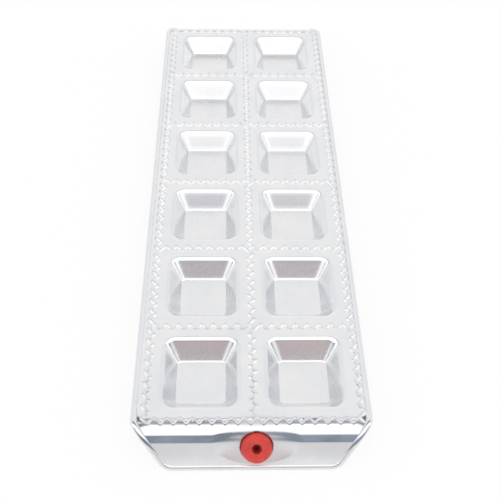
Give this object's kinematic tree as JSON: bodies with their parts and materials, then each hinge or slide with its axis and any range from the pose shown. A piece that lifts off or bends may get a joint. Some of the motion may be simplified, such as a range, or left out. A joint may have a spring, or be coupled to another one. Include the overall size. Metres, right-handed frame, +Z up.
{
  "type": "ravioli mould",
  "caption": "Long pressed metal tray with square tapered wells ruled off by raised zigzag ridges, bent end panels as legs and a rubber plug in one end.",
  "frame": {"origin": "under the middle of the tray, on the surface that it stands on", "axes": "+X across the tray, +Y along it from the end nearest the camera in the picture to the far end, +Z up"},
  "size_m": [0.098, 0.3042, 0.017],
  "materials": {
    "tray_metal": "bright pressed",
    "plug_rubber": "satin"
  },
  "bodies": {
    "root": {"mould_tray": "tray_metal", "front_plug": "plug_rubber"}
  },
  "joints": []
}
